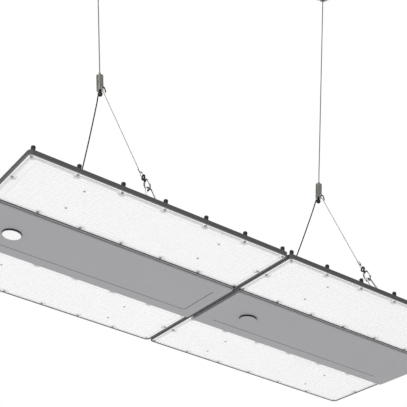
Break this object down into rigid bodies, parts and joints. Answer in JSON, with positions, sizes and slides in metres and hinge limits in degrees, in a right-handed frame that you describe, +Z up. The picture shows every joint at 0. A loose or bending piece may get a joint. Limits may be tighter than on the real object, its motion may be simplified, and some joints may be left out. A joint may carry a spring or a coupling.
{
  "type": "led grow light",
  "caption": "Flat square LED grow lights in a row, each with two lens panels and a centre driver bay, hung from the ceiling on an adjustable Y hanger.",
  "frame": {"origin": "centre of the ceiling bolt pattern, on the ceiling plane", "axes": "+Z up into the ceiling, +X along the row from the left module to the right one, +Y across the row, away from the side with the bails that the picture shows"},
  "size_m": [1.003, 0.482, 0.9605],
  "materials": {
    "tray_paint": "fine satin powder coat, dark grey",
    "cover_paint": "smooth satin paint, mid grey with a faint violet cast",
    "lens_polymer": "white diffusing polycarbonate with moulded lenslets",
    "steel_wire": "stranded galvanised steel",
    "black_wire": "black coated steel rope",
    "nickel_brass": "nickel-plated, satin",
    "steel_fastener": "stainless, brushed",
    "seal_rubber": "black EPDM",
    "black_plastic": "fine grained",
    "sensor_white": "opal",
    "cap_plastic": "fine grained, cover grey",
    "driver_case": "extruded",
    "pcb_white": "white solder mask",
    "black_steel": "blackened"
  },
  "bodies": {
    "ceiling": {"ceiling_cup_a": "nickel_brass", "ceiling_cup_b": "nickel_brass"},
    "wire_a": {"main_wire_a": "steel_wire", "wire_ends_a": "black_steel"},
    "hanger_a": {"gripper_a": "nickel_brass", "leg_wire_near_a": "steel_wire", "leg_wire_far_a": "black_wire", "leg_ferrules_a": "nickel_brass", "snap_hook_near_a": "steel_fastener", "snap_hook_far_a": "steel_fastener"},
    "release_a": {"release_collar_a": "nickel_brass"},
    "gate_near_a": {"gate_near_a": "steel_fastener"},
    "gate_far_a": {"gate_far_a": "steel_fastener"},
    "light_a": {"bail_near_a": "steel_fastener", "bail_far_a": "steel_fastener", "tray_a": "tray_paint", "lens_near_a": "lens_polymer", "lens_far_a": "lens_polymer", "lens_gaskets_a": "seal_rubber", "led_board_near_a": "pcb_white", "led_board_far_a": "pcb_white", "lens_screws_a": "steel_fastener", "driver_housing_a": "tray_paint", "driver_unit_a": "driver_case", "terminal_block_a": "black_plastic", "cable_gland_a": "black_plastic", "bay_cover_a": "cover_paint", "bay_seal_a": "seal_rubber", "bay_screws_a": "steel_fastener", "sensor_collar_a": "black_plastic", "sensor_window_a": "sensor_white"},
    "wire_b": {"main_wire_b": "steel_wire", "wire_ends_b": "black_steel"},
    "hanger_b": {"gripper_b": "nickel_brass", "leg_wire_near_b": "steel_wire", "leg_wire_far_b": "black_wire", "leg_ferrules_b": "nickel_brass", "snap_hook_near_b": "steel_fastener", "snap_hook_far_b": "steel_fastener"},
    "release_b": {"release_collar_b": "nickel_brass"},
    "gate_near_b": {"gate_near_b": "steel_fastener"},
    "gate_far_b": {"gate_far_b": "steel_fastener"},
    "light_b": {"bail_near_b": "steel_fastener", "bail_far_b": "steel_fastener", "tray_b": "tray_paint", "lens_near_b": "lens_polymer", "lens_far_b": "lens_polymer", "lens_gaskets_b": "seal_rubber", "led_board_near_b": "pcb_white", "led_board_far_b": "pcb_white", "lens_screws_b": "steel_fastener", "driver_housing_b": "tray_paint", "driver_unit_b": "driver_case", "terminal_block_b": "black_plastic", "cable_gland_b": "black_plastic", "bay_cover_b": "cover_paint", "bay_seal_b": "seal_rubber", "bay_screws_b": "steel_fastener", "sensor_collar_b": "black_plastic", "blank_cap_b": "cap_plastic"}
  },
  "joints": [
    {"name": "swing_a", "type": "hinge", "parent": "ceiling", "child": "wire_a", "pos_m": [-0.325, 0, -0.012], "axis": [1, 0, 0], "range_deg": [-8, 8]},
    {"name": "height_a", "type": "slide", "parent": "wire_a", "child": "hanger_a", "axis": [-0.1637, 0, 0.9865], "range_m": [0, 0.24]},
    {"name": "tilt_a", "type": "hinge", "parent": "hanger_a", "child": "light_a", "pos_m": [-0.182, 0, -0.874], "axis": [0, 1, 0], "range_deg": [-1, 5]},
    {"name": "release_a", "type": "slide", "parent": "hanger_a", "child": "release_a", "axis": [0.1637, 0, -0.9865], "range_m": [0, 0.0025], "stiffness_N_per_m": 800},
    {"name": "gate_near_a", "type": "hinge", "parent": "hanger_a", "child": "gate_near_a", "pos_m": [-0.18399, -0.15102, -0.86198], "axis": [0.9865, 0, 0.1637], "range_deg": [-20, 0], "stiffness_Nm_per_rad": 0.02},
    {"name": "gate_far_a", "type": "hinge", "parent": "hanger_a", "child": "gate_far_a", "pos_m": [-0.18399, 0.15102, -0.86198], "axis": [0.9865, 0, 0.1637], "range_deg": [0, 20], "stiffness_Nm_per_rad": 0.02},
    {"name": "swing_b", "type": "hinge", "parent": "ceiling", "child": "wire_b", "pos_m": [0.325, 0, -0.012], "axis": [1, 0, 0], "range_deg": [-8, 8]},
    {"name": "height_b", "type": "slide", "parent": "wire_b", "child": "hanger_b", "axis": [0.0046, 0, 1], "range_m": [0, 0.24]},
    {"name": "tilt_b", "type": "hinge", "parent": "hanger_b", "child": "light_b", "pos_m": [0.321, 0, -0.874], "axis": [0, 1, 0], "range_deg": [-5, 1]},
    {"name": "release_b", "type": "slide", "parent": "hanger_b", "child": "release_b", "axis": [-0.0046, 0, -1], "range_m": [0, 0.0025], "stiffness_N_per_m": 800},
    {"name": "gate_near_b", "type": "hinge", "parent": "hanger_b", "child": "gate_near_b", "pos_m": [0.32105, -0.14737, -0.86235], "axis": [1, 0, -0.0046], "range_deg": [-20, 0], "stiffness_Nm_per_rad": 0.02},
    {"name": "gate_far_b", "type": "hinge", "parent": "hanger_b", "child": "gate_far_b", "pos_m": [0.32105, 0.14737, -0.86235], "axis": [1, 0, -0.0046], "range_deg": [0, 20], "stiffness_Nm_per_rad": 0.02}
  ]
}
